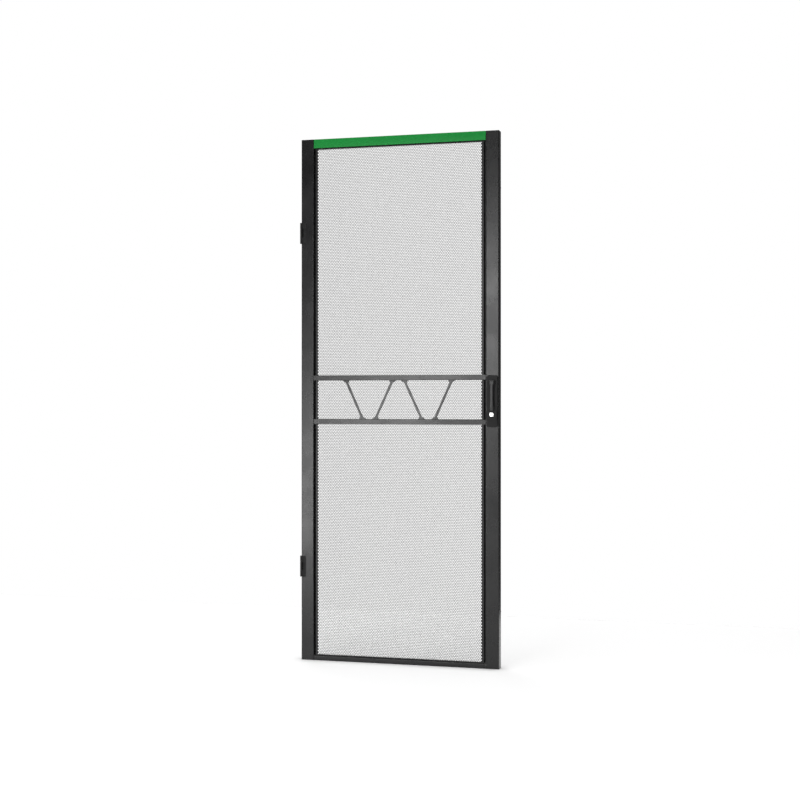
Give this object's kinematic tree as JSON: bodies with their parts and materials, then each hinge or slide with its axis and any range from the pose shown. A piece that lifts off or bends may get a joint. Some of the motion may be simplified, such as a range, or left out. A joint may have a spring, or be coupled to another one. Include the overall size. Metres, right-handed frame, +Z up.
{
  "type": "perforated rack door",
  "caption": "Perforated steel front door for a tall rack, with a truss brace, pinned side hinges, a swing handle and lock rods.",
  "frame": {"origin": "middle of the lower hinge bracket's two fixing holes, on the face that meets the cabinet", "axes": "+X from the hinge edge to the handle edge, +Y from the front of the door towards the cabinet, +Z up"},
  "size_m": [0.753, 0.0625, 1.926],
  "materials": {
    "frame_black": "satin black powder coat on folded steel",
    "panel_black": "satin black powder coat on perforated steel",
    "strip_green": "satin green extruded plastic",
    "cast_black": "black coated zinc casting",
    "lever_black": "satin black coated zinc casting",
    "zinc_plate": "bright zinc plated steel",
    "gearbox_grey": "raw die-cast grey",
    "lock_bright": "bright nickel plate",
    "nylon_black": "black nylon",
    "rubber_black": "black rubber"
  },
  "bodies": {
    "root": {"upper_hinge_bracket": "cast_black", "lower_hinge_bracket": "cast_black", "upper_hinge_pin": "zinc_plate", "lower_hinge_pin": "zinc_plate"},
    "door": {"left_stile": "frame_black", "right_stile": "frame_black", "head_rail": "frame_black", "foot_rail": "frame_black", "truss_upper_rail": "frame_black", "truss_lower_rail": "frame_black", "brace_outer_left": "frame_black", "brace_inner_left": "frame_black", "brace_inner_right": "frame_black", "brace_outer_right": "frame_black", "perforated_panel": "panel_black", "head_strip": "strip_green", "upper_hinge_leaf": "cast_black", "lower_hinge_leaf": "cast_black", "hinge_leaf_screws": "cast_black", "escutcheon": "cast_black", "lock_bezel": "cast_black", "upper_hinge_backing": "zinc_plate", "lower_hinge_backing": "zinc_plate", "cover_screws": "zinc_plate", "gearbox_screws": "zinc_plate", "escutcheon_screw": "zinc_plate", "guide_nuts": "zinc_plate", "earth_stud": "zinc_plate", "gearbox_body": "gearbox_grey", "gearbox_cover": "gearbox_grey", "strip_clips": "nylon_black", "hinge_washers": "nylon_black", "upper_rod_top_guide": "nylon_black", "upper_rod_low_guide": "nylon_black", "lower_rod_top_guide": "nylon_black", "lower_rod_low_guide": "nylon_black", "stop_upper_left": "rubber_black", "stop_lower_left": "rubber_black", "stop_upper_right": "rubber_black", "stop_lower_right": "rubber_black"},
    "handle_hub": {"hub": "cast_black", "spindle": "zinc_plate", "pinion": "zinc_plate", "lever_pin": "zinc_plate"},
    "lever_arm": {"lever": "lever_black"},
    "lock_plug": {"key_plug": "lock_bright", "lock_cam": "zinc_plate", "plug_clip": "zinc_plate"},
    "upper_lock_rod": {"upper_rod": "zinc_plate"},
    "lower_lock_rod": {"lower_rod": "zinc_plate"}
  },
  "joints": [
    {"name": "door_swing", "type": "hinge", "parent": "root", "child": "door", "pos_m": [-0.012, -0.04, 0.6175], "axis": [0, 0, -1], "range_deg": [0, 130]},
    {"name": "handle_turn", "type": "hinge", "parent": "door", "child": "handle_hub", "pos_m": [0.711, -0.056, 0.6765], "axis": [0, 1, 0], "range_deg": [0, 90]},
    {"name": "lever_lift", "type": "hinge", "parent": "handle_hub", "child": "lever_arm", "pos_m": [0.711, -0.058, 0.6825], "axis": [-1, 0, 0], "range_deg": [0, 35]},
    {"name": "key_turn", "type": "hinge", "parent": "door", "child": "lock_plug", "pos_m": [0.711, -0.061, 0.5645], "axis": [0, 1, 0], "range_deg": [0, 90]},
    {"name": "upper_rod_slide", "type": "slide", "parent": "door", "child": "upper_lock_rod", "axis": [0, 0, -1], "range_m": [0, 0.0142]},
    {"name": "lower_rod_slide", "type": "slide", "parent": "door", "child": "lower_lock_rod", "axis": [0, 0, 1], "range_m": [0, 0.0142]}
  ],
  "couplings": [
    {"joint": "upper_rod_slide", "follows": "handle_turn", "m_per_rad": 0.009},
    {"joint": "lower_rod_slide", "follows": "handle_turn", "m_per_rad": 0.009}
  ]
}
